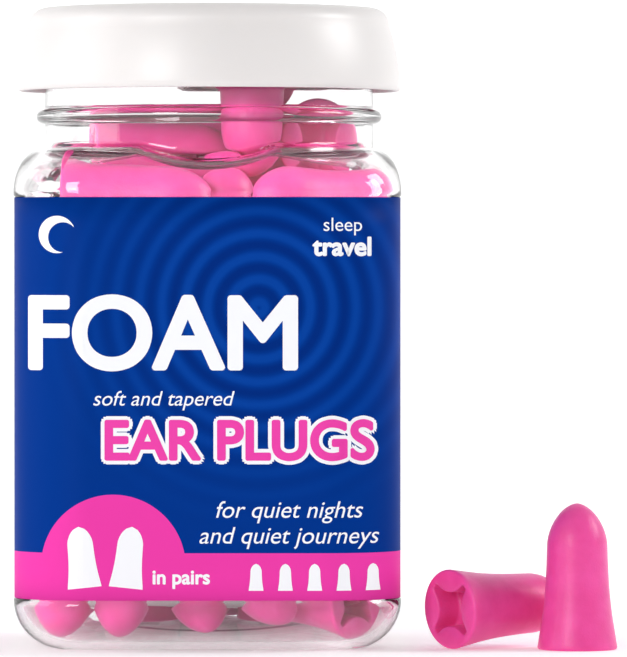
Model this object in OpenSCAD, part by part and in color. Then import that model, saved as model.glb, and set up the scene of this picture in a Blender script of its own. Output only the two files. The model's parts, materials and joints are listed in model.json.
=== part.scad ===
// Foam ear plugs in a square clear screw-cap jar, with two plugs lying beside it.
// The jar stands on z = 0 with its axis on Z, its front faces -Y, and sizes are in millimetres.

/* [Plug] */
// Length of one foam plug from its flat base to its nose
plug_l = 25.2; // [24.8:0.1:25.4]
// Radius of the plug's body where the nose begins
plug_r = 5.25; // [5:0.05:5.25]
// Radius of the flared base
base_r = 6.95; // [6.5:0.05:6.95]
// Depth of the cross-shaped recess in the base
recess_depth = 4.5; // [4:0.5:9]

/* [Jar] */
// Width and depth of the square jar body
jar_w = 67; // [67:0.5:70]
// Radius of the jar's upright corners
corner_r = 13.5; // [12.5:0.5:13.5]
// Height from the foot to the sealing rim
jar_h = 109; // [109:0.5:112]
// Outside radius of the neck
neck_r = 28.8; // [28.8:0.1:29]
// Thickness of the side walls
wall = 0.8; // [0.7:0.05:0.8]

/* [Label] */
// Height of the label's lower edge above the foot
label_z = 9; // [9:0.1:12]
// Height of the label itself
label_h = 68.9; // [60:0.1:68.9]
// Thickness of the label film
label_t = 0.12; // [0.08:0.01:0.14]

/* [Cap] */
// Radius of the cap at its open edge
cap_r = 33.5; // [33:0.1:34]
// Height of the cap
cap_h = 14.5; // [14:0.5:15]
// Rise of the screw thread in one turn
thread_pitch = 4.2; // [4.1:0.05:4.4]

/* [Hidden] */
$fn = 96;
round_steps = 8;

// Jar body. The cavity follows the outside, and the label panel is set in a little.
half = jar_w / 2;
panel_in = 0.3;
panel_edge = 0.3;
heel_r = 8.7;
shoulder_z = 78.3;
shoulder_in = 6;
shoulder_h = 8.4;
floor_t = 1.4;
deck_t = 1.1;
push_up = 0.5;
push_up_r = 22;
push_up_top_r = 16;
cavity_in = panel_in + wall;
cavity_half = half - cavity_in;
cavity_corner = corner_r - cavity_in;
cavity_heel = heel_r - wall;

// Neck, support bead and sealing rim
neck_t = 1.3;
bore_r = neck_r - neck_t;
bead_z = 92.2;
bead_out = 1.5;
bead_t = 2.4;

// Cap: a smooth outer shell, a threaded skirt inside it, and a disc of liner board
cap_top = jar_h + 2.2;
cap_z = cap_top - cap_h;
cap_shell = 1.1;
cap_plate = 1.4;
cap_crown = 1.9;
cap_edge = 3;
cap_gap_h = cap_h - 5.5;
liner_t = 0.8;
liner_r = neck_r + 0.7;
skirt_in = neck_r + 1.15;
skirt_t = 1.1;
skirt_z = cap_z + 1.3;

// Thread. Both helices have the same lead, and the cap's lies half a pitch above the jar's.
thread_steps = 36;
thread_bite = 0.4;
jar_thread_out = 0.95;
jar_thread_w = 2;
jar_thread_z = jar_h - 11.8;
jar_thread_start = -98;
jar_thread_turns = 1.5;
cap_thread_out = 0.9;
cap_thread_w = 1.5;
cap_thread_turns = 1.1;

// Plug outline
base_edge = 0.3;
nose_h = 7.3;
nose_power = 1.75;
body_l = plug_l - nose_h;
body_taper = 0.35;
flare_fade = 6.8;
flare_power = 1.45;
flare = (base_r - plug_r - body_taper) / (1 - flare_share(body_l));
recess_arm = 5.6;
recess_cut_r = 4.65;
recess_cut_at = 7.6;

// Most plugs stand in layers of a 5 by 5 grid, nose up and nose down in turn, so that each
// flared base sits beside its neighbours' noses. The edge lift clears the jar's round heel.
GRID = 2;
LAYERS = 3;
grid_margin = 1.85;
grid_pitch = (cavity_half - base_r - grid_margin) / GRID;
first_z = floor_t + push_up + 0.1;
layer_h = plug_l + 0.4;
nose_up_lift = 0.4;
edge_lift = 3.3;
lean_max = 0.2;
golden_turn = 137.5;

// Plugs that lie across the grid: [x, y and z of the middle, heading and rise of the nose].
// Three groups lie low in the front, high in the front under the shoulder, and in the neck.
FRONT_LOW = [
    [-24.4, -20.2, 13.8, 262, -66],
    [-14.2, -25.4, 14.8, 190, -85],
    [-3.2, -17.1, 13.2, 302, -56],
    [6.3, -25.3, 14.4, 0, -50],
    [16.2, -15.9, 8.8, 140, 1.5]
];
FRONT_HIGH = [
    [-11.5, -26, 78.2, -8, 0],
    [-16.4, -24.7, 65, 180, 3],
    [18.3, -22.9, 78, 218, 1.5],
    [18, -22.8, 63, 214, 5],
    [3, -20.2, 72.4, 0, 90]
];
IN_NECK = [
    [-7.5, -8.7, 85.8, 9, 0],
    [7.6, -15.5, 95, 0, -90],
    [14.8, 1.5, 88, 110, 0],
    [-8, 5, 85.9, 180, -2],
    [-4.2, 17.8, 86, 189, 0],
    [8.5, 12.5, 99, 90, 0]
];

// Grid cells that those plugs take up: [layer, column, row]
TAKEN = concat(
    [for (i = [-GRID:GRID]) [0, i, -2]],
    [for (i = [-GRID:GRID]) [0, i, -1]],
    [for (i = [-GRID:GRID]) [2, i, -2]],
    [[2, 2, -1], [2, 0, -1]]
);

// The two loose plugs: one stands at the right, and the other lies behind it.
UPRIGHT = [63.8, -21, plug_l / 2, 0, 90];
lying_heading = 38;
lying_rise = 2;
LYING_BASE = [41.7, -21.5, 6.9];
LYING = concat(
    LYING_BASE + plug_l / 2 * direction(lying_heading, lying_rise),
    [lying_heading, lying_rise]
);

PLUGS = concat(FRONT_LOW, FRONT_HIGH, IN_NECK, grid_plugs());
PAIRS = floor(len(PLUGS) / 2);
JAR_NODES = ["jar", "label", "cap", "cap_liner", "loose_plug_upright", "loose_plug_lying"];

function pair_name(k) = str("plug_pair_", k < 10 ? "0" : "", k);

// Unit vector of a heading around Z, risen from the level by rise
function direction(heading, rise) =
    [cos(rise) * cos(heading), cos(rise) * sin(heading), sin(rise)];

// Points on a quarter of an ellipse, from angle a0 to a1
function quarter(centre, rx, rz, a0, a1) = [
    for (k = [0:round_steps])
        let (a = a0 + (a1 - a0) * k / round_steps)
            centre + [rx * cos(a), rz * sin(a)]
];

// Middle, heading and rise of the plug that stands in one cell of the grid
function grid_plug(layer, i, j) =
    let (
        nose_up = abs(i + j) % 2 == 1,
        count = 25 * layer + 5 * i + j,
        lean = lean_max * abs(cos(golden_turn * count)),
        at_edge = max(abs(i), abs(j)) == GRID,
        lift = !nose_up ? 0 : at_edge ? edge_lift : nose_up_lift
    )
    [
        i * grid_pitch,
        j * grid_pitch,
        first_z + layer * layer_h + lift + plug_l / 2,
        golden_turn * count,
        nose_up ? 90 - lean : lean - 90
    ];

function grid_plugs() = [
    for (layer = [0:LAYERS - 1])
        for (j = [-GRID:GRID])
            for (i = [-GRID:GRID])
                if (len([for (t = TAKEN) if (t == [layer, i, j]) t]) == 0)
                    grid_plug(layer, i, j)
];

// Share of the base's flare that is left at distance t from the base
function flare_share(t) = exp(-pow(t / flare_fade, flare_power));

// Radius of a plug's body at distance t from its base
function plug_radius(t) =
    plug_r + body_taper * (1 - t / body_l) + flare * (flare_share(t) - flare_share(body_l));

// Point on the side of a plug's nose, which is a little more pointed than an ellipse
function nose_point(turn) = [
    plug_r * pow(cos(turn), 2 / nose_power),
    body_l + nose_h * pow(sin(turn), 2 / nose_power)
];

module plug_outline() {
    body = [for (t = [base_edge, 1.5, 3, 5, 7.5, 11]) [plug_radius(t), t]];
    nose = [for (k = [0:round_steps]) nose_point(90 * k / round_steps)];
    polygon(concat([[0, 0], [plug_radius(0) - base_edge, 0]], body, nose));
}

module cross_outline() {
    difference() {
        circle(recess_arm);
        for (a = [0:90:270])
            rotate(a)
                translate([recess_cut_at, 0])
                    circle(recess_cut_r);
    }
}

module plug() {
    color("hotpink")
        difference() {
            rotate_extrude()
                plug_outline();
            translate([0, 0, -1])
                linear_extrude(recess_depth + 1)
                    cross_outline();
        }
}

// A plug with its middle at the first three numbers of place, and then its heading and rise
module plug_at(place) {
    translate([place[0], place[1], place[2]])
        rotate([0, 90 - place[4], place[3]])
            translate([0, 0, -plug_l / 2])
                plug();
}

module plug_pair(k) {
    plug_at(PLUGS[2 * k - 2]);
    plug_at(PLUGS[2 * k - 1]);
}

module loose_plug_upright() {
    plug_at(UPRIGHT);
}

module loose_plug_lying() {
    plug_at(LYING);
}

// A square block with round corners whose sides follow an outline. The outline's first
// coordinate is the distance out from the corners' centres, and its second is the height.
module rounded_block(block_half, block_corner, outline, z0, z1) {
    inner = block_half - block_corner;
    for (a = [0:90:270])
        rotate(a) {
            translate([inner, inner])
                rotate_extrude(angle = 90)
                    polygon(outline);
            translate([inner, 0])
                rotate([90, 0, 0])
                    linear_extrude(2 * inner, center = true)
                        polygon(outline);
        }
    translate([-inner, -inner, z0])
        cube([2 * inner, 2 * inner, z1 - z0]);
}

module jar_outside() {
    panel = corner_r - panel_in;
    outline = concat(
        [[0, 0]],
        quarter([corner_r - heel_r, heel_r], heel_r, heel_r, -90, 0),
        [[panel, heel_r + panel_edge / 2], [panel, shoulder_z - panel_edge]],
        quarter([corner_r - shoulder_in, shoulder_z], shoulder_in, shoulder_h, 0, 90),
        [[0, shoulder_z + shoulder_h]]
    );
    rounded_block(half, corner_r, outline, 0, shoulder_z + shoulder_h);
    translate([0, 0, shoulder_z])
        cylinder(h = jar_h - shoulder_z, r = neck_r);
    translate([0, 0, bead_z])
        rotate_extrude()
            polygon([
                [bore_r, -bead_t],
                [neck_r, -bead_t / 2],
                [neck_r + bead_out * 0.8, -bead_t / 3],
                [neck_r + bead_out, 0],
                [neck_r + bead_out * 0.8, bead_t / 3],
                [neck_r, bead_t / 2],
                [bore_r, bead_t]
            ]);
}

module jar_cavity() {
    cavity_top = shoulder_z + shoulder_h - deck_t;
    cavity_shoulder_h = cavity_top - shoulder_z + panel_edge;
    outline = concat(
        [[0, floor_t]],
        quarter([cavity_corner - cavity_heel, floor_t + cavity_heel], cavity_heel, cavity_heel, -90, 0),
        quarter(
            [cavity_corner - shoulder_in + 0.1, cavity_top - cavity_shoulder_h],
            shoulder_in - 0.1, cavity_shoulder_h, 0, 90
        ),
        [[0, cavity_top]]
    );
    difference() {
        union() {
            rounded_block(cavity_half, cavity_corner, outline, floor_t, cavity_top);
            translate([0, 0, shoulder_z])
                cylinder(h = jar_h, r = bore_r);
        }
        translate([0, 0, floor_t - 0.01])
            cylinder(h = push_up, r1 = push_up_r, r2 = push_up_top_r);
    }
}

// A screw thread of four-sided section, wound on radius r and standing out by depth.
// A negative depth makes an inside thread.
module thread(r, depth, width, z, start, turns) {
    steps = round(turns * thread_steps);
    root = r - sign(depth) * thread_bite;
    crest = r + depth;
    section = [[root, -width / 2], [crest, -width / 5], [crest, width / 5], [root, width / 2]];
    points = [
        for (s = [0:steps])
            let (a = start + 360 * s / thread_steps, rise = z + thread_pitch * s / thread_steps)
                for (p = section)
                    [p[0] * cos(a), p[0] * sin(a), rise + p[1]]
    ];
    sides = [
        for (s = [0:steps - 1])
            for (e = [0:3])
                let (a = 4 * s + e, b = 4 * s + (e + 1) % 4)
                    each [[a, a + 4, b + 4], [a, b + 4, b]]
    ];
    last = 4 * steps;
    ends = [[0, 1, 2], [0, 2, 3], [last, last + 2, last + 1], [last, last + 3, last + 2]];
    faces = concat(sides, ends);
    turned = [for (face = faces) [face[0], face[2], face[1]]];
    polyhedron(points, depth < 0 ? faces : turned);
}

module jar() {
    color("lightblue", 0.35)
        difference() {
            union() {
                jar_outside();
                thread(
                    neck_r, jar_thread_out, jar_thread_w, jar_thread_z,
                    jar_thread_start, jar_thread_turns
                );
            }
            jar_cavity();
            translate([0, 0, -0.01])
                cylinder(h = push_up, r1 = push_up_r, r2 = push_up_top_r);
        }
}

module rounded_square(square_half, square_corner) {
    inner = square_half - square_corner;
    square([2 * square_half, 2 * inner], center = true);
    square([2 * inner, 2 * square_half], center = true);
    for (x = [-inner, inner])
        for (y = [-inner, inner])
            translate([x, y])
                circle(square_corner);
}

// The label wraps all round, and its end laps over its start at the back.
module label() {
    lap_w = 6;
    inside = half - panel_in;
    inside_corner = corner_r - panel_in;
    color("mediumblue")
        translate([0, 0, label_z])
            linear_extrude(label_h)
                difference() {
                    union() {
                        rounded_square(inside + label_t, inside_corner + label_t);
                        translate([-lap_w / 2, inside])
                            square([lap_w, 2 * label_t]);
                    }
                    rounded_square(inside, inside_corner);
                }
}

// Radius of the cap's outer face at height h above its open edge
function cap_radius(h) = cap_r - cap_crown * pow(h / (cap_h - cap_edge), 2);

// The cap's section: the crowned outside, the underside of the top plate, the skirt, and the
// gap between the skirt and the outer shell.
module cap_outline() {
    side_h = cap_h - cap_edge;
    hollow_h = cap_h - cap_plate;
    skirt_h = skirt_z - cap_z;
    outside = [for (k = [0:round_steps]) let (h = side_h * k / round_steps) [cap_radius(h), h]];
    edge = quarter([cap_radius(side_h) - cap_edge, side_h], cap_edge, cap_edge, 0, 90);
    gap = [
        for (k = [round_steps:-1:0])
            let (h = cap_gap_h * k / round_steps)
                [cap_radius(h) - cap_shell, h]
    ];
    skirt_out = skirt_in + skirt_t;
    polygon(concat(
        outside,
        edge,
        [[0, cap_h], [0, hollow_h], [skirt_in, hollow_h], [skirt_in, skirt_h], [skirt_out, skirt_h]],
        [[skirt_out, cap_gap_h]],
        gap
    ));
}

module cap() {
    color("whitesmoke") {
        translate([0, 0, cap_z])
            rotate_extrude()
                cap_outline();
        thread(
            skirt_in, -cap_thread_out, cap_thread_w, jar_thread_z + thread_pitch / 2,
            jar_thread_start, cap_thread_turns
        );
    }
}

module cap_liner() {
    color("ivory")
        translate([0, 0, jar_h])
            cylinder(h = liner_t, r = liner_r);
}

jar();
label();
cap();
cap_liner();
loose_plug_upright();
loose_plug_lying();
for (k = [1:PAIRS])
    plug_pair(k);
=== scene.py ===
import json
import math
import random

import bmesh
import bpy
import numpy as np
from mathutils import Matrix, Vector


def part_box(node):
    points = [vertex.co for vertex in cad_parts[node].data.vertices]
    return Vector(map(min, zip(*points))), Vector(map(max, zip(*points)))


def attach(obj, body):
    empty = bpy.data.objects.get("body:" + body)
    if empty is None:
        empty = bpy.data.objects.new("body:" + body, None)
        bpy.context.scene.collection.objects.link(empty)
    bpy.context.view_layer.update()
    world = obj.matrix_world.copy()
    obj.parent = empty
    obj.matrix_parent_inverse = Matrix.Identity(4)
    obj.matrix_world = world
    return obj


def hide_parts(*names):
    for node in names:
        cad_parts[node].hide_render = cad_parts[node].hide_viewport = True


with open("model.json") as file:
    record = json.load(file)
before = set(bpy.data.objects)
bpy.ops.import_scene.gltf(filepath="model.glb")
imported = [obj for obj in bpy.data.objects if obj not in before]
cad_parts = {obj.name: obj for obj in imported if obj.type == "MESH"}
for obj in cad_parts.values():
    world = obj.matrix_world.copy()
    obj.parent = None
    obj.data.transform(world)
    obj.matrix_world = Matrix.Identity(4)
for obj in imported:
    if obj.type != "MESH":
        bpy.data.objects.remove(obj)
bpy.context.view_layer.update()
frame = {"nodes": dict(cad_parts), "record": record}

# Foam ear plugs in a clear screw-cap jar. Sizes are in metres, and mm() turns millimetres into
# them. The jar stands on z = 0 with its axis on Z and its label's front towards -Y.


def mm(length):
    """Millimetres as metres."""
    return length / 1000


# ---------------------------------------------------------------- sizes

JAR_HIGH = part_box("jar")[1]
LABEL_LOW, LABEL_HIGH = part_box("label")
CAP_LOW, CAP_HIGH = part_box("cap")
LINER_LOW, LINER_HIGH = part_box("cap_liner")

# The jar's body: half its width, its round corners, how far the label's panel is set in, its
# wall and floor, and the round heel and shallow push-up of its foot
HALF = JAR_HIGH.x
CORNER = mm(13.5)
PANEL_IN = mm(0.3)
WALL = mm(0.8)
FLOOR = mm(1.4)
HEEL = mm(8.7)
PUSH_UP = mm(0.5)

# The shoulder starts at SHOULDER_Z and sags by SHOULDER_DIP at the middle of each side. The
# spread says how wide the sag is, and the blend how late the corners turn round.
SHOULDER_Z = mm(78.3)
SHOULDER_H = mm(8.4)
SHOULDER_DIP = mm(2.6)
DIP_SPREAD = 0.8
CORNER_BLEND = 1.5

# The neck: its outer and inner radius, its support bead and its rim
NECK = mm(28.8)
BORE = mm(27.5)
BEAD_Z = mm(92.2)
BEAD_OUT = mm(1.5)
BEAD_HALF = mm(1.3)
RIM_Z = JAR_HIGH.z
RIM_ROUND = mm(0.4)

# The screw thread. Its ends fade over a share of a turn, and its flanks are cut off flat on top.
THREAD_PITCH = mm(4.2)
THREAD_START = math.radians(-98)
THREAD_Z = RIM_Z - mm(11.8)
THREAD_TURNS = 1.5
THREAD_W = mm(2)
THREAD_OUT = mm(0.95)
THREAD_FADE = 0.05
THREAD_FLANK = 1.6

# The cap: its outer shell, its top plate, and its skirt, which carries the inside thread
CAP_R = mm(33.5)
CAP_CROWN = mm(1.9)
CAP_EDGE = mm(3)
CAP_SHELL = mm(1.1)
CAP_PLATE = mm(1.4)
CAP_GAP_H = mm(9)
CAP_THREAD_TURNS = 1.1
CAP_THREAD_W = mm(1.5)
CAP_THREAD_OUT = mm(0.9)
SKIRT_IN = mm(29.95)
SKIRT_OUT = mm(31.05)
SKIRT_UP = mm(1.3)

# The label's printed film. The CAD label is a little thicker than the film.
CAD_LABEL_T = mm(0.12)
FILM_GAP = mm(0.02)
FILM_T = mm(0.1)
FILM_HALF = LABEL_HIGH.x - CAD_LABEL_T + FILM_GAP
FILM_CORNER = CORNER - (HALF - FILM_HALF)
LAP_W = mm(6)

# Ink on the film. Copies of a letter lie a step apart, so that none shares a plane.
INK_T = mm(0.02)
INK_LIFT = mm(0.01)
SECOND_INK_LIFT = mm(0.05)
INK_STEP = mm(0.0005)

# A foam plug, measured from its base. The powers shape the nose and the flare of the base.
PLUG_L = mm(25.2)
PLUG_R = mm(5.25)
BASE_R = mm(6.95)
NOSE_H = mm(7.3)
NOSE_POWER = 1.75
BODY_L = PLUG_L - NOSE_H
BODY_TAPER = mm(0.35)
FLARE_FADE = mm(6.8)
FLARE_POWER = 1.45
BASE_EDGE = mm(0.45)

# The recess in a plug's base: a circle of radius RECESS_ARM, cut back by four round lobes
RECESS_DEPTH = mm(4.5)
RECESS_ARM = mm(5.6)
RECESS_CUT_R = mm(4.65)
RECESS_CUT_AT = mm(7.6)
RECESS_ROUND = mm(1)

# How much one plug may be bent, and squashed out of round
PLUG_BEND = mm(0.22)
PLUG_SQUASH = 0.014


# ---------------------------------------------------------------- camera

def make_camera():
    """A long lens a good metre away, level with the upper part of the label."""
    at = Vector((mm(18.3), -1.2, mm(68)))
    aim = Vector((mm(18.3), 0, mm(55.1)))
    data = bpy.data.cameras.new("camera")
    data.lens = 374.8
    data.clip_start = 0.05
    data.clip_end = 20
    camera = bpy.data.objects.new("camera", data)
    bpy.context.scene.collection.objects.link(camera)
    camera.location = at
    camera.rotation_euler = (aim - at).to_track_quat("-Z", "Y").to_euler()
    bpy.context.scene.camera = camera


make_camera()


# ---------------------------------------------------------------- materials

def colour(code):
    """An sRGB hex colour such as "#e0408a" as linear RGBA."""
    parts = [int(code[k:k + 2], 16) / 255 for k in (1, 3, 5)]
    linear = [c / 12.92 if c <= 0.04045 else ((c + 0.055) / 1.055) ** 2.4 for c in parts]
    return (*linear, 1)


def add(tree, kind, inputs=None, **settings):
    """Adds a node. inputs holds a value for each socket, or the socket to link it from."""
    node = tree.nodes.new("ShaderNode" + kind)
    for name, value in settings.items():
        setattr(node, name, value)
    for name, value in (inputs or {}).items():
        if isinstance(value, bpy.types.NodeSocket):
            tree.links.new(value, node.inputs[name])
        else:
            node.inputs[name].default_value = value
    return node


def new_material(name):
    """An empty material, its node tree, and its output node."""
    made = bpy.data.materials.new(name)
    made.use_nodes = True
    tree = made.node_tree
    tree.nodes.clear()
    return made, tree, add(tree, "OutputMaterial")


def per_mm(size):
    """The texture scale whose pattern repeats about every size millimetres."""
    return 1000 / size


def foam_material():
    """Slow-recovery polyurethane foam with a moulded skin. It is matt, its fine cells roughen
    the skin, and light goes a little way into it, which warms the shaded side."""
    made, tree, output = new_material("moulded_polyurethane_foam")
    place = add(tree, "TexCoord").outputs["Object"]
    mottle = add(tree, "TexNoise", {"Vector": place, "Scale": per_mm(3.5), "Detail": 3.0})
    tint = add(tree, "ValToRGB", {"Fac": mottle.outputs["Fac"]})
    tint.color_ramp.elements[0].position = 0.3
    tint.color_ramp.elements[0].color = colour("#ea4699")
    tint.color_ramp.elements[1].position = 0.7
    tint.color_ramp.elements[1].color = colour("#f252a6")
    cells = add(tree, "TexVoronoi", {"Vector": place, "Scale": per_mm(0.32)})
    skin = add(tree, "TexNoise", {"Vector": place, "Scale": per_mm(0.9), "Detail": 4.0})
    height = add(
        tree, "Math", {0: cells.outputs["Distance"], 1: skin.outputs["Fac"]}, operation="ADD"
    )
    bump = add(
        tree, "Bump", {"Height": height.outputs[0], "Strength": 0.35, "Distance": mm(0.06)}
    )
    shader = add(tree, "BsdfPrincipled", {
        "Base Color": tint.outputs["Color"],
        "Roughness": 0.38,
        "IOR": 1.42,
        "Subsurface Weight": 0.35,
        "Subsurface Radius": (1.0, 0.35, 0.5),
        "Subsurface Scale": mm(1.2),
        "Sheen Weight": 0.05,
        "Normal": bump.outputs["Normal"],
    })
    tree.links.new(shader.outputs[0], output.inputs["Surface"])
    return made


def clear_pet_material():
    """Blow-moulded clear PET. It is glossy and bends light strongly, and the slow waves of the
    blown wall make its reflections swim. Lamps shine through it, so that what it holds is lit."""
    made, tree, output = new_material("clear_blow_moulded_pet")
    place = add(tree, "TexCoord").outputs["Object"]
    waves = add(tree, "TexNoise", {"Vector": place, "Scale": per_mm(14), "Detail": 1.0})
    bump = add(
        tree, "Bump", {"Height": waves.outputs["Fac"], "Strength": 0.2, "Distance": mm(0.15)}
    )
    shader = add(tree, "BsdfPrincipled", {
        "Base Color": colour("#ffffff"),
        "Roughness": 0.03,
        "IOR": 1.5,
        "Transmission Weight": 1.0,
        "Normal": bump.outputs["Normal"],
    })
    clear = add(tree, "BsdfTransparent", {"Color": colour("#fdfdfd")})
    mixed = add(tree, "MixShader", {
        "Fac": add(tree, "LightPath").outputs["Is Shadow Ray"],
        1: shader.outputs[0],
        2: clear.outputs[0],
    })
    tree.links.new(mixed.outputs[0], output.inputs["Surface"])
    return made


def polypropylene_material():
    """White moulded polypropylene. It is smooth and satin, slightly waxy, with the faint
    unevenness of a moulded face."""
    made, tree, output = new_material("white_moulded_polypropylene")
    place = add(tree, "TexCoord").outputs["Object"]
    fine = add(tree, "TexNoise", {"Vector": place, "Scale": per_mm(0.5), "Detail": 3.0})
    slow = add(tree, "TexNoise", {"Vector": place, "Scale": per_mm(18), "Detail": 1.0})
    rough = add(tree, "MapRange", {"Value": slow.outputs["Fac"], "To Min": 0.3, "To Max": 0.4})
    bump = add(
        tree, "Bump", {"Height": fine.outputs["Fac"], "Strength": 0.15, "Distance": mm(0.02)}
    )
    shader = add(tree, "BsdfPrincipled", {
        "Base Color": colour("#e7e3e2"),
        "Roughness": rough.outputs[0],
        "IOR": 1.49,
        "Subsurface Weight": 0.15,
        "Subsurface Radius": (1.0, 0.9, 0.8),
        "Subsurface Scale": mm(1.5),
        "Normal": bump.outputs["Normal"],
    })
    tree.links.new(shader.outputs[0], output.inputs["Surface"])
    return made


def liner_material():
    """Pulp board with a foam face, as under most screw caps. It is matt with short fibres."""
    made, tree, output = new_material("pulp_board_liner")
    place = add(tree, "TexCoord").outputs["Object"]
    fibre = add(
        tree, "TexNoise", {"Vector": place, "Scale": per_mm(0.8), "Detail": 5.0, "Distortion": 1.5}
    )
    tint = add(tree, "ValToRGB", {"Fac": fibre.outputs["Fac"]})
    tint.color_ramp.elements[0].color = colour("#dcd6cb")
    tint.color_ramp.elements[1].color = colour("#f0ece4")
    bump = add(
        tree, "Bump", {"Height": fibre.outputs["Fac"], "Strength": 0.4, "Distance": mm(0.04)}
    )
    shader = add(tree, "BsdfPrincipled", {
        "Base Color": tint.outputs["Color"],
        "Roughness": 0.85,
        "Normal": bump.outputs["Normal"],
    })
    tree.links.new(shader.outputs[0], output.inputs["Surface"])
    return made


# Where the ripples, the band and the dome lie on the label's front, in x and z
RIPPLE_AT = (mm(9), mm(59))
RIPPLE_STEP = mm(3.9)
RIPPLE_FULL = mm(4)
RIPPLE_END = mm(42)
BAND_TOP = mm(17.1)
DOME_AT = (mm(-15.9), mm(14.7))
DOME_R = mm(12.4)


def away_from(tree, x, z, centre):
    """A node chain for the distance of a front-view point from a centre."""
    across = add(tree, "Math", {0: x, 1: centre[0]}, operation="SUBTRACT")
    up = add(tree, "Math", {0: z, 1: centre[1]}, operation="SUBTRACT")
    both = add(tree, "CombineXYZ", {"X": across.outputs[0], "Y": up.outputs[0]})
    return add(tree, "VectorMath", {0: both.outputs[0]}, operation="LENGTH").outputs["Value"]


def label_material():
    """Printed polypropylene film: deep blue with ripples like rings on water, over a pink band
    whose dome rises at the left. The ripples and the dome are on the front alone."""
    made, tree, output = new_material("printed_label_film")
    place = add(tree, "TexCoord").outputs["Object"]
    parts = add(tree, "SeparateXYZ", {0: place})
    x, y, z = parts.outputs["X"], parts.outputs["Y"], parts.outputs["Z"]
    front = add(tree, "Math", {0: y, 1: 0.0}, operation="LESS_THAN").outputs[0]

    ring = away_from(tree, x, z, RIPPLE_AT)
    phase = add(tree, "Math", {0: ring, 1: math.tau / RIPPLE_STEP}, operation="MULTIPLY")
    wave = add(tree, "Math", {0: phase.outputs[0]}, operation="SINE")
    fade = add(tree, "MapRange", {
        "Value": ring,
        "From Min": RIPPLE_FULL,
        "From Max": RIPPLE_END,
        "To Min": 1.0,
        "To Max": 0.0,
    }, interpolation_type="SMOOTHSTEP")
    swell = add(tree, "Math", {0: wave.outputs[0], 1: fade.outputs[0]}, operation="MULTIPLY")
    shown = add(tree, "Math", {0: swell.outputs[0], 1: front}, operation="MULTIPLY")
    blue = add(tree, "ValToRGB", {
        "Fac": add(tree, "MapRange", {"Value": shown.outputs[0], "From Min": -1.0}).outputs[0],
    })
    stops = blue.color_ramp.elements
    stops[0].position = 0.1
    stops[0].color = colour("#012b7c")
    stops[1].position = 0.9
    stops[1].color = colour("#06409c")
    middle = stops.new(0.5)
    middle.color = colour("#01348a")

    in_band = add(tree, "Math", {0: z, 1: BAND_TOP}, operation="LESS_THAN").outputs[0]
    dome = away_from(tree, x, z, DOME_AT)
    in_dome = add(tree, "Math", {0: dome, 1: DOME_R}, operation="LESS_THAN").outputs[0]
    dome_front = add(tree, "Math", {0: in_dome, 1: front}, operation="MULTIPLY").outputs[0]
    pink_area = add(tree, "Math", {0: in_band, 1: dome_front}, operation="MAXIMUM").outputs[0]
    ink = add(tree, "Mix", {
        "Factor": pink_area, "A": blue.outputs["Color"], "B": colour("#ec3fa8"),
    }, data_type="RGBA")
    shader = add(tree, "BsdfPrincipled", {
        "Roughness": 0.42,
        "IOR": 1.49,
        "Specular IOR Level": 0.02,
    })
    tree.links.new(ink.outputs["Result"], shader.inputs["Base Color"])
    tree.links.new(shader.outputs[0], output.inputs["Surface"])
    return made


def ink_material(name, code):
    """Opaque screen ink on the label: smooth, with the same soft gloss as the film."""
    made, tree, output = new_material(name)
    place = add(tree, "TexCoord").outputs["Object"]
    grain = add(tree, "TexNoise", {"Vector": place, "Scale": per_mm(0.6), "Detail": 2.0})
    rough = add(tree, "MapRange", {"Value": grain.outputs["Fac"], "To Min": 0.28, "To Max": 0.4})
    shader = add(tree, "BsdfPrincipled", {
        "Base Color": colour(code),
        "Roughness": rough.outputs[0],
        "Specular IOR Level": 0.2,
    })
    tree.links.new(shader.outputs[0], output.inputs["Surface"])
    return made


FOAM = foam_material()
CLEAR_PET = clear_pet_material()
POLYPROPYLENE = polypropylene_material()
LINER = liner_material()
LABEL = label_material()
WHITE_INK = ink_material("white_label_ink", "#f6f7fb")
PINK_INK = ink_material("pink_label_ink", "#ec3fa8")


# ---------------------------------------------------------------- making pieces

def finish_piece(name, bm, material, body, nodes=(), smooth=True):
    """Turns a bmesh into a piece that rides on a body and stands for the given CAD nodes."""
    bmesh.ops.remove_doubles(bm, verts=bm.verts, dist=1e-7)
    bmesh.ops.recalc_face_normals(bm, faces=bm.faces)
    mesh = bpy.data.meshes.new(name)
    bm.to_mesh(mesh)
    bm.free()
    mesh.materials.append(material)
    for face in mesh.polygons:
        face.use_smooth = smooth
    piece = bpy.data.objects.new(name, mesh)
    bpy.context.scene.collection.objects.link(piece)
    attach(piece, body)
    if nodes:
        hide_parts(*nodes)
    return piece


def loft(bm, sides, rings, close=False):
    """Skins a stack of rings. Each ring is a function that gives the point at an angle. The two
    ends are filled, or joined to each other if close is true."""
    angles = [math.tau * k / sides for k in range(sides)]
    first = bmesh.ops.create_circle(bm, segments=sides, radius=1)["verts"]
    for vert, angle in zip(first, angles):
        vert.co = rings[0](angle)
    ring, edges = first, list({e for v in first for e in v.link_edges})
    if not close:
        bmesh.ops.contextual_create(bm, geom=first)
    for place in rings[1:]:
        grown = bmesh.ops.extrude_edge_only(bm, edges=edges)["geom"]
        above = {v for v in grown if isinstance(v, bmesh.types.BMVert)}
        edges = [e for e in grown if isinstance(e, bmesh.types.BMEdge) and set(e.verts) <= above]
        ring = [
            next(o for o in (e.other_vert(vert) for e in vert.link_edges) if o in above)
            for vert in ring
        ]
        for vert, angle in zip(ring, angles):
            vert.co = place(angle)
    if close:
        loops = edges + [e for v in first for e in v.link_edges if set(e.verts) <= set(first)]
        bmesh.ops.bridge_loops(bm, edges=list(dict.fromkeys(loops)))
    else:
        bmesh.ops.contextual_create(bm, geom=ring)


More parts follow.
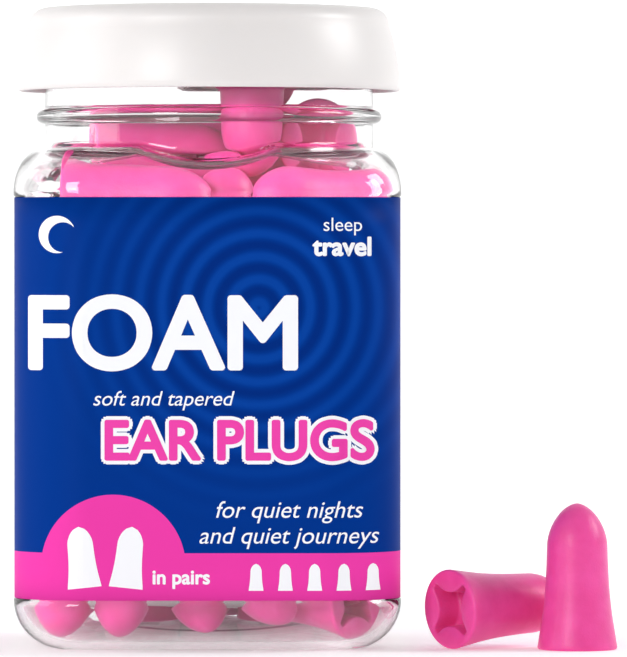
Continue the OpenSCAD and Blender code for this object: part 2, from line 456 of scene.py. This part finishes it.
def arc(centre, radii, start, end, steps):
    """(x, z) points along part of an ellipse, with angles in degrees."""
    turns = [math.radians(start + (end - start) * k / steps) for k in range(steps + 1)]
    return [
        (centre[0] + radii[0] * math.cos(a), centre[1] + radii[1] * math.sin(a)) for a in turns
    ]


def round_ring(radius, z):
    """A level circle."""
    return lambda angle: Vector((radius * math.cos(angle), radius * math.sin(angle), z))


def square_reach(angle, half, corner):
    """How far a square with round corners reaches from its centre at an angle."""
    a = abs((angle + math.pi / 4) % (math.pi / 2) - math.pi / 4)
    inner = half - corner
    if half * math.tan(a) <= inner:
        return half / math.cos(a)
    along = inner * (math.cos(a) + math.sin(a))
    across = inner * (math.cos(a) - math.sin(a))
    return along + math.sqrt(max(0.0, corner * corner - across * across))


def square_ring(half, corner, z, dip=0.0):
    """A ring of a square with round corners, lowered by dip at the middle of each side."""
    def place(angle):
        reach = square_reach(angle, half, min(corner, half))
        sag = dip * max(0.0, math.cos(4 * angle)) ** DIP_SPREAD
        return Vector((reach * math.cos(angle), reach * math.sin(angle), z - sag))
    return place


def ridge(angle, z, start_z, turns, width, depth):
    """How far a screw thread stands out at an angle and height. It fades in and out at its ends."""
    out = 0.0
    turned = (angle - THREAD_START) % math.tau / math.tau
    while turned < turns:
        off = abs(z - start_z - THREAD_PITCH * turned) / (width / 2)
        fade = min(1.0, turned / THREAD_FADE, (turns - turned) / THREAD_FADE)
        out = max(out, depth * fade * min(1.0, max(0.0, THREAD_FLANK * (1 - off))))
        turned += 1
    return out


# ---------------------------------------------------------------- jar

def foot_rings(z):
    """The shallow push-up of the jar's foot, from its middle outwards."""
    profile = [(2, 1), (15, 1), (16.5, 0.85), (21, 0.1), (22, 0)]
    return [round_ring(mm(radius), z + PUSH_UP * share) for radius, share in profile]


def panel_rings(half, corner, z0, z1):
    """The upright stretch of the jar's side, from z0 to z1."""
    return [square_ring(half, corner, z0 + (z1 - z0) * k / 9) for k in range(10)]


def jar_outside_rings():
    """The jar's outside, from the middle of its foot up to the neck."""
    rings = foot_rings(0)
    for x, z in arc((HALF - HEEL, HEEL), (HEEL, HEEL), -90, 0, 12):
        rings.append(square_ring(x, CORNER - (HALF - x), z))
    panel_low = HEEL + mm(0.2)
    panel_high = SHOULDER_Z - mm(0.3)
    rings += panel_rings(HALF - PANEL_IN, CORNER - PANEL_IN, panel_low, panel_high)
    rings += shoulder_rings(HALF, CORNER, NECK, SHOULDER_Z, SHOULDER_H)
    return rings


def shoulder_rings(half, corner, round_r, z0, height):
    """From a square section up and in to a round one. The shoulder sags at each side's middle."""
    steps = 16
    rings = []
    for k in range(steps + 1):
        turn = math.pi / 2 * k / steps
        inward = 1 - math.cos(turn)
        rings.append(square_ring(
            half - (half - round_r) * inward,
            corner + (round_r - corner) * inward ** CORNER_BLEND,
            z0 + height * math.sin(turn),
            SHOULDER_DIP * inward,
        ))
    return rings


def neck_rings(radius, z0, z1, steps, dip=0.0):
    """A plain round stretch whose lower end follows the shoulder's sag."""
    rings = []
    for k in range(1, steps + 1):
        share = k / steps
        rings.append(square_ring(radius, radius, z0 + (z1 - z0) * share, dip * (1 - share) ** 2))
    return rings


def bead_rings():
    """The round support bead below the thread."""
    half_round = arc((NECK, BEAD_Z), (BEAD_OUT, BEAD_HALF), -90, 90, 12)
    return [round_ring(x, z) for x, z in half_round]


def thread_rings(radius, z0, z1, steps, start_z, turns, width, depth):
    """A round wall that carries a screw thread. A negative depth makes an inside thread."""
    def ring(z):
        def place(angle):
            reach = radius + math.copysign(
                ridge(angle, z, start_z, turns, width, abs(depth)), depth
            )
            return Vector((reach * math.cos(angle), reach * math.sin(angle), z))
        return place
    return [ring(z0 + (z1 - z0) * k / steps) for k in range(steps + 1)]


def rim_rings():
    """Over the rim from the outside of the neck to its bore."""
    middle = ((NECK + BORE) / 2, RIM_Z - RIM_ROUND)
    over = arc(middle, ((NECK - BORE) / 2, RIM_ROUND), 0, 180, 8)
    return [round_ring(x, z) for x, z in over]


def jar_inside_rings():
    """The jar's inside, from the bore down to the middle of its floor."""
    half = HALF - PANEL_IN - WALL
    corner = CORNER - PANEL_IN - WALL
    heel = HEEL - WALL
    panel_low = FLOOR + heel
    panel_high = SHOULDER_Z - mm(0.4)
    top = SHOULDER_Z + SHOULDER_H - mm(1.1)
    rings = neck_rings(BORE, top, top + mm(5), 5, SHOULDER_DIP)[::-1]
    rings += shoulder_rings(half, corner, BORE, panel_high, top - panel_high)[::-1]
    rings += panel_rings(half, corner, panel_low, panel_high)[-2:0:-1]
    for x, z in arc((half - heel, panel_low), (heel, heel), 0, -90, 12):
        rings.append(square_ring(x, corner - (half - x), z))
    rings += foot_rings(FLOOR)[::-1]
    return rings


def make_jar():
    """One closed wall: outside, thread, rim and inside."""
    neck_low = SHOULDER_Z + SHOULDER_H
    neck_high = BEAD_Z - BEAD_HALF - mm(0.3)
    thread_low = BEAD_Z + BEAD_HALF + mm(0.4)
    thread_high = RIM_Z - mm(1)
    rings = jar_outside_rings()
    rings += neck_rings(NECK, neck_low, neck_high, 4, SHOULDER_DIP)
    rings += bead_rings()
    rings += thread_rings(
        NECK, thread_low, thread_high, 48, THREAD_Z, THREAD_TURNS, THREAD_W, THREAD_OUT
    )
    rings += rim_rings()
    rings += jar_inside_rings()
    bm = bmesh.new()
    loft(bm, 160, rings)
    return finish_piece("jar_wall", bm, CLEAR_PET, "jar", ["jar"])


# ---------------------------------------------------------------- cap and liner

def cap_radius(h):
    """Radius of the cap's crowned side at a height above its open edge."""
    return CAP_R - CAP_CROWN * (h / (CAP_HIGH.z - CAP_LOW.z - CAP_EDGE)) ** 2


def cap_outside_rings(base, side):
    """From the middle of the cap's top, over its edge and down its side to its open edge."""
    edge_at = (cap_radius(side) - CAP_EDGE, base + side)
    rings = [round_ring(mm(r), CAP_HIGH.z) for r in (1, 10, 20)]
    rings += [round_ring(x, z) for x, z in arc(edge_at, (CAP_EDGE, CAP_EDGE), 90, 0, 10)]
    heights = [side * k / 10 for k in range(9, 0, -1)]
    rings += [round_ring(cap_radius(h), base + h) for h in heights]
    rings += [round_ring(CAP_R - mm(0.08), base + mm(0.12)), round_ring(CAP_R - mm(0.35), base)]
    return rings


def cap_inside_rings(base, side):
    """Up inside the shell, down the skirt's outside, and up its thread to the top plate."""
    shell_in = CAP_R - CAP_SHELL
    plate = CAP_HIGH.z - CAP_PLATE
    rings = [round_ring(shell_in + mm(0.3), base), round_ring(shell_in, base + mm(0.3))]
    rings += [round_ring(cap_radius(h) - CAP_SHELL, base + h) for h in (side / 2, CAP_GAP_H)]
    rings.append(round_ring(SKIRT_OUT, base + CAP_GAP_H))
    rings.append(round_ring(SKIRT_OUT, base + SKIRT_UP + mm(0.3)))
    rings.append(round_ring(SKIRT_OUT - mm(0.3), base + SKIRT_UP))
    rings.append(round_ring(SKIRT_IN + mm(0.3), base + SKIRT_UP))
    rings += thread_rings(
        SKIRT_IN, base + SKIRT_UP + mm(0.5), plate - mm(0.8), 44,
        THREAD_Z + THREAD_PITCH / 2, CAP_THREAD_TURNS, CAP_THREAD_W, -CAP_THREAD_OUT,
    )
    rings += [round_ring(SKIRT_IN, plate - mm(0.4)), round_ring(SKIRT_IN - mm(0.4), plate)]
    rings += [round_ring(mm(r), plate) for r in (20, 10, 1)]
    return rings


def make_cap():
    """Crowned shell, top plate and threaded skirt, as one moulding."""
    base = CAP_LOW.z
    side = CAP_HIGH.z - base - CAP_EDGE
    bm = bmesh.new()
    loft(bm, 144, cap_outside_rings(base, side) + cap_inside_rings(base, side))
    return finish_piece("screw_cap", bm, POLYPROPYLENE, "cap", ["cap"])


def make_liner():
    """A disc with the ring that the jar's rim has pressed into it."""
    low, high = LINER_LOW.z, LINER_HIGH.z
    radius = LINER_HIGH.x
    edge = mm(0.1)
    dent = mm(0.12)
    rim = (NECK + BORE) / 2
    rings = [round_ring(mm(r), low) for r in (1, 12, 26)]
    rings += [round_ring(rim - mm(0.9), low), round_ring(rim - mm(0.5), low + dent)]
    rings += [round_ring(rim + mm(0.5), low + dent), round_ring(rim + mm(0.8), low)]
    rings += [round_ring(radius - edge, low), round_ring(radius, low + edge)]
    rings += [round_ring(radius, high - edge), round_ring(radius - edge, high)]
    rings += [round_ring(mm(r), high) for r in (20, 1)]
    bm = bmesh.new()
    loft(bm, 96, rings)
    return finish_piece("liner_disc", bm, LINER, "liner", ["cap_liner"])


# ---------------------------------------------------------------- label

def make_label():
    """The wrap film. Its end laps over its start at the back."""
    bottom, top = LABEL_LOW.z, LABEL_HIGH.z

    def film_ring(out, z):
        plain = square_ring(FILM_HALF + out, FILM_CORNER + out, z)

        def place(angle):
            point = plain(angle)
            if out > 0 and point.y > 0 and abs(point.x) < LAP_W / 2:
                point.y += FILM_T
            return point
        return place

    levels = [bottom + (top - bottom) * k / 12 for k in range(13)]
    rings = [film_ring(FILM_T, z) for z in levels] + [film_ring(0, z) for z in levels[::-1]]
    bm = bmesh.new()
    loft(bm, 288, rings, close=True)
    return finish_piece("wrap_label", bm, LABEL, "jar", ["label"])


def label_surface(x):
    """The y of the label's front face at an x, round the corner too."""
    half = FILM_HALF + FILM_T
    corner = FILM_CORNER + FILM_T
    over = abs(x) - (half - corner)
    if over <= 0:
        return -half
    return -(half - corner) - math.sqrt(max(0.0, corner ** 2 - over ** 2))


def print_on_label(name, bm, ink, lift):
    """Lays a flat shape, drawn in x and y, on the label's front as a thin film of ink."""
    bmesh.ops.triangulate(bm, faces=bm.faces[:])
    step = mm(1)
    low = min(v.co.x for v in bm.verts)
    high = max(v.co.x for v in bm.verts)
    for k in range(math.ceil(low / step), math.floor(high / step) + 1):
        geometry = bm.verts[:] + bm.edges[:] + bm.faces[:]
        bmesh.ops.bisect_plane(bm, geom=geometry, plane_co=(k * step, 0, 0), plane_no=(1, 0, 0))
    for vert in bm.verts:
        x, z, out = vert.co
        vert.co = (x, label_surface(x) - lift - out, z)
    return finish_piece(name, bm, ink, "jar", smooth=False)


def lettering(name, text, height, middle, ink, lift, bolder=0.0, slant=0.0):
    """A line of plain lettering, centred at middle, as ink on the label. Copies set out in a
    circle make it bolder, and their corners round."""
    curve = bpy.data.curves.new(name, "FONT")
    curve.body = text
    curve.size = height
    curve.align_x = "CENTER"
    curve.align_y = "CENTER"
    curve.shear = slant
    curve.extrude = INK_T / 2
    source = bpy.data.objects.new(name + "_curve", curve)
    bpy.context.scene.collection.objects.link(source)
    bpy.context.view_layer.update()
    shown = source.evaluated_get(bpy.context.evaluated_depsgraph_get())
    mesh = bpy.data.meshes.new_from_object(shown)
    bpy.data.objects.remove(source)
    bm = bmesh.new()
    copies = 12 if bolder > 0 else 1
    for k in range(copies):
        turn = math.tau * k / copies
        known = len(bm.verts)
        bm.from_mesh(mesh)
        bm.verts.ensure_lookup_table()
        shift = (
            middle[0] + bolder * math.cos(turn),
            middle[1] + bolder * math.sin(turn),
            INK_T / 2 + k * INK_STEP,
        )
        bmesh.ops.translate(bm, verts=bm.verts[known:], vec=shift)
    bpy.data.meshes.remove(mesh)
    return print_on_label(name, bm, ink, lift)


def flat_shape(name, outline, at, ink, turn=0.0):
    """A flat closed shape, turned by some degrees and laid on the label as ink."""
    bm = bmesh.new()
    bm.faces.new([bm.verts.new((x, z, 0)) for x, z in outline])
    grown = bmesh.ops.extrude_face_region(bm, geom=bm.faces[:])["geom"]
    top = [v for v in grown if isinstance(v, bmesh.types.BMVert)]
    bmesh.ops.translate(bm, verts=top, vec=(0, 0, INK_T))
    bmesh.ops.rotate(bm, verts=bm.verts, matrix=Matrix.Rotation(math.radians(turn), 3, "Z"))
    bmesh.ops.translate(bm, verts=bm.verts, vec=(at[0], at[1], 0))
    return print_on_label(name, bm, ink, INK_LIFT)


def plug_sign(name, at, height, turn):
    """A small picture of a plug, seen from the side, in white ink."""
    side = [(plug_radius(t), t) for t in (PLUG_L * k / 24 for k in range(24))]
    outline = side + [(0, PLUG_L)] + [(-x, t) for x, t in reversed(side)]
    scale = height / PLUG_L
    shape = [(x * scale, (t - PLUG_L / 2) * scale) for x, t in outline]
    return flat_shape(name, shape, at, WHITE_INK, turn)


def moon_sign(name, at, radius):
    """A crescent moon in white ink: a disc with a smaller disc cut out of its right side. The
    two edges meet at the crescent's tips."""
    tip, cut_tip = 46.4, 67
    cut_at, cut_r = radius * 0.35, radius * 0.8
    outer = arc((0, 0), (radius, radius), tip, 360 - tip, 28)
    inner = arc((cut_at, 0), (cut_r, cut_r), 360 - cut_tip, cut_tip, 20)
    return flat_shape(name, outer + inner, at, WHITE_INK, turn=-25)


def make_print():
    """Plain words and signs for what the jar holds, in white and pink ink."""
    foam_at = (mm(-7.5), mm(54))
    plugs_at = (mm(5.5), mm(36))
    plugs_h = mm(9.4)
    title = "EAR PLUGS"
    lettering("print_foam", "FOAM", mm(17.5), foam_at, WHITE_INK, INK_LIFT, mm(0.45))
    lettering("print_ear_plugs_edge", title, plugs_h, plugs_at, WHITE_INK, INK_LIFT, mm(0.9))
    lettering("print_ear_plugs", title, plugs_h, plugs_at, PINK_INK, SECOND_INK_LIFT, mm(0.28))
    small = [
        ("print_sleep", "sleep", 3.3, (23.3, 73.1), 0, 0),
        ("print_travel", "travel", 4.4, (23.3, 69.3), 0.16, 0),
        ("print_soft", "soft and tapered", 3.6, (-7.5, 43.4), 0, 0.25),
        ("print_quiet_nights", "for quiet nights", 4.1, (14, 24.4), 0, 0.25),
        ("print_quiet_journeys", "and quiet journeys", 4.1, (14, 20), 0, 0.25),
        ("print_pairs", "in pairs", 3.4, (-4.3, 12.9), 0.1, 0),
    ]
    for name, text, height, at, bolder, slant in small:
        middle = (mm(at[0]), mm(at[1]))
        lettering(name, text, mm(height), middle, WHITE_INK, INK_LIFT, mm(bolder), slant)
    moon_sign("print_moon", (mm(-25.5), mm(71.5)), mm(3.2))
    plug_sign("print_dome_plug_1", (mm(-21.3), mm(16.4)), mm(10.5), 6)
    plug_sign("print_dome_plug_2", (mm(-13.2), mm(16.4)), mm(10.5), -6)
    for k in range(5):
        plug_sign(f"print_row_plug_{k + 1}", (mm(8.5 + 5 * k), mm(13)), mm(4.6), 0)


# ---------------------------------------------------------------- foam plugs

def flare_share(t):
    """Share of the base's flare that is left at a distance from the base."""
    return math.exp(-(t / FLARE_FADE) ** FLARE_POWER)


def plug_radius(t):
    """Radius of a plug at a distance from its base."""
    if t >= BODY_L:
        nose = max(0.0, 1 - ((t - BODY_L) / NOSE_H) ** NOSE_POWER)
        return PLUG_R * nose ** (1 / NOSE_POWER)
    end = flare_share(BODY_L)
    flare = (BASE_R - PLUG_R - BODY_TAPER) * (flare_share(t) - end) / (1 - end)
    return PLUG_R + BODY_TAPER * (1 - t / BODY_L) + flare


def recess_reach(angle):
    """Reach of the recess's outline: a circle with four round lobes cut into it. The ends of
    the four arms between the lobes are rounded."""
    a = abs((angle + math.pi / 4) % (math.pi / 2) - math.pi / 4)
    across = RECESS_CUT_AT * math.sin(a)
    if abs(across) >= RECESS_CUT_R:
        return RECESS_ARM
    lobe = RECESS_CUT_AT * math.cos(a) - math.sqrt(RECESS_CUT_R ** 2 - across ** 2)
    blend = max(0.0, 1 - abs(lobe - RECESS_ARM) / RECESS_ROUND)
    return min(RECESS_ARM, lobe) - RECESS_ROUND * blend ** 2 / 4


def plug_rings(bend):
    """Rings from the recess's floor, out over the base and up the side to the nose. The points
    of a ring crowd together at the recess's four arms, whose ends turn sharply."""
    def shaped(reach_at, t):
        sway = bend * (t / PLUG_L) ** 2

        def place(even_angle):
            angle = even_angle + 0.2 * math.sin(4 * even_angle)
            reach = reach_at(angle)
            return Vector((reach * math.cos(angle) + sway, reach * math.sin(angle), t))
        return place

    def even(reach):
        return lambda angle: reach

    def recess(share, out):
        return lambda angle: recess_reach(angle) * share + out

    # From the recess's slightly domed floor, up its wall, to the soft lip at the base:
    # share of the recess's outline, distance out from it, distance from the base
    recess_profile = [
        (0.1, 0, RECESS_DEPTH + mm(0.25)),
        (0.6, 0, RECESS_DEPTH + mm(0.1)),
        (0.84, 0, RECESS_DEPTH),
        (0.9, 0, RECESS_DEPTH - mm(0.5)),
        (0.97, 0, RECESS_DEPTH / 2),
        (1, 0, mm(0.5)),
        (1, mm(0.08), mm(0.18)),
        (1, mm(0.3), mm(0.02)),
    ]
    rings = [shaped(recess(share, out), t) for share, out, t in recess_profile]
    edge_in = plug_radius(0) - BASE_EDGE
    rings.append(shaped(even(edge_in - mm(0.15)), 0))
    edge = arc((edge_in, BASE_EDGE), (BASE_EDGE, BASE_EDGE), -80, 0, 4)
    rings += [shaped(even(x), t) for x, t in edge]
    for k in range(1, 12):
        t = BASE_EDGE + (BODY_L - BASE_EDGE) * (k / 12) ** 1.3
        rings.append(shaped(even(plug_radius(t)), t))
    for k in range(13):
        turn = math.pi / 2 * min(k / 12, 0.985)
        t = BODY_L + NOSE_H * math.sin(turn) ** (2 / NOSE_POWER)
        rings.append(shaped(even(plug_radius(t)), t))
    return rings


def plug_places(node):
    """The matrix that carries a plug from its own frame to each place where the node has one."""
    bm = bmesh.new()
    bm.from_mesh(frame["nodes"][node].data)
    bmesh.ops.remove_doubles(bm, verts=bm.verts, dist=1e-6)
    left = set(bm.verts)
    places = []
    for seed in bm.verts:
        if seed not in left:
            continue
        left.discard(seed)
        island, reached = [seed], [seed]
        while reached:
            vert = reached.pop()
            for edge in vert.link_edges:
                other = edge.other_vert(vert)
                if other in left:
                    left.discard(other)
                    island.append(other)
                    reached.append(other)
        places.append(plug_place(np.array([v.co for v in island])))
    bm.free()
    return sorted(places, key=lambda m: (round(m.translation.z, 4), round(m.translation.x, 4)))


def plug_place(points):
    """The matrix of one plug, from its points: its axis is the long direction, towards the
    narrow end, and its origin is the middle of its base."""
    middle = (points.min(0) + points.max(0)) / 2
    axis = np.linalg.svd(points - points.mean(0), full_matrices=False)[2][0]
    along = (points - middle) @ axis
    reach = np.linalg.norm((points - middle) - np.outer(along, axis), axis=1)
    third = (along.max() - along.min()) / 3
    low_end = reach[along < along.min() + third].max()
    high_end = reach[along > along.max() - third].max()
    if low_end < high_end:
        axis = -axis
    direction = Vector(axis)
    side = Vector((0, 0, 1)).cross(direction)
    side = Vector((0, 1, 0)) if side.length < 0.02 else side.normalized()
    front = side.cross(direction).normalized()
    side = direction.cross(front)
    centre = points.mean(0)
    base = centre + axis * ((points - centre) @ axis).min()
    place = Matrix((front, side, direction)).transposed().to_4x4()
    place.translation = Vector(base)
    return place


def make_plug(bm, place, luck):
    """One plug at a place, a little bent and a little squashed, as each moulded plug is."""
    fresh = bmesh.new()
    loft(fresh, 72, plug_rings(luck.uniform(-1, 1) * PLUG_BEND))
    squash = 1 + luck.uniform(-PLUG_SQUASH, PLUG_SQUASH)
    put = place @ Matrix.Diagonal((squash, 1 / squash, 1, 1))
    bmesh.ops.transform(fresh, verts=fresh.verts, matrix=put)
    spare = bpy.data.meshes.new("plug")
    fresh.to_mesh(spare)
    fresh.free()
    bm.from_mesh(spare)
    bpy.data.meshes.remove(spare)


def make_plugs():
    """A foam piece for each CAD node of plugs: the pairs in the jar and the two loose ones."""
    luck = random.Random(7)
    for body, nodes in frame["record"]["behaviour"]["bodies"].items():
        for node in sorted(n for n in nodes if "plug" in n):
            bm = bmesh.new()
            for place in plug_places(node):
                make_plug(bm, place, luck)
            piece = finish_piece("foam_" + node, bm, FOAM, body, [node])


# ---------------------------------------------------------------- stage

def sweep_material():
    """A matt painted sweep that also glows a little, so that it stays white behind the jar. Its
    back lets light through, so that the jar can be seen from behind it too."""
    made, tree, output = new_material("white_sweep")
    shader = add(tree, "BsdfPrincipled", {
        "Base Color": colour("#fbfbfb"),
        "Roughness": 0.9,
        "Emission Color": colour("#ffffff"),
        "Emission Strength": 0.25,
    })
    one_sided = add(tree, "MixShader", {
        "Fac": add(tree, "NewGeometry").outputs["Backfacing"],
        1: shader.outputs[0],
        2: add(tree, "BsdfTransparent").outputs[0],
    })
    tree.links.new(one_sided.outputs[0], output.inputs["Surface"])
    return made


def make_sweep():
    """A pale floor that curves up into a backdrop."""
    reach = 1.6
    bend_y, bend_r = 0.35, 0.3
    profile = [(-reach, 0)]
    profile += arc((bend_y, bend_r), (bend_r, bend_r), -90, 0, 12)
    profile.append((bend_y + bend_r, reach))
    bm = bmesh.new()
    start = [bm.verts.new((-reach, y, z)) for y, z in profile]
    edges = [bm.edges.new(pair) for pair in zip(start, start[1:])]
    grown = bmesh.ops.extrude_edge_only(bm, edges=edges)["geom"]
    far = [v for v in grown if isinstance(v, bmesh.types.BMVert)]
    bmesh.ops.translate(bm, verts=far, vec=(2 * reach, 0, 0))
    bm.normal_update()
    facing_away = [face for face in bm.faces if face.normal.z < 0 or face.normal.y > 0]
    bmesh.ops.reverse_faces(bm, faces=facing_away)
    mesh = bpy.data.meshes.new("sweep")
    bm.to_mesh(mesh)
    bm.free()
    mesh.materials.append(sweep_material())
    for face in mesh.polygons:
        face.use_smooth = True
    sweep = bpy.data.objects.new("sweep", mesh)
    bpy.context.scene.collection.objects.link(sweep)


def area_light(name, at, aim, size, power):
    """A soft square light."""
    data = bpy.data.lights.new(name, "AREA")
    data.size = size
    data.energy = power
    light = bpy.data.objects.new(name, data)
    bpy.context.scene.collection.objects.link(light)
    light.location = at
    light.rotation_euler = (Vector(aim) - Vector(at)).to_track_quat("-Z", "Y").to_euler()


def make_lights():
    """Soft lights at both sides and in front, and an even pale surround. The surround is
    brighter in what glass and gloss show of it than in the light that it gives."""
    middle = (0.01, 0, 0.06)
    area_light("left_light", (-0.85, -0.1, 0.35), middle, 0.6, 2.6)
    area_light("right_light", (0.85, 0.05, 0.5), middle, 0.35, 3.8)
    area_light("front_light", (-0.55, -1, 0.35), middle, 0.35, 5)
    world = bpy.data.worlds.new("surround")
    world.use_nodes = True
    tree = world.node_tree
    tree.nodes.clear()
    spread = add(tree, "LightPath").outputs["Is Diffuse Ray"]
    strength = add(tree, "MapRange", {"Value": spread, "To Min": 0.8, "To Max": 0.32})
    light = add(tree, "Background", {
        "Color": colour("#ffffff"), "Strength": strength.outputs[0],
    })
    tree.links.new(light.outputs[0], add(tree, "OutputWorld").inputs["Surface"])
    bpy.context.scene.world = world
    bpy.context.scene.view_settings.view_transform = "Standard"


make_jar()
make_cap()
make_liner()
make_label()
make_print()
make_plugs()
make_sweep()
make_lights()
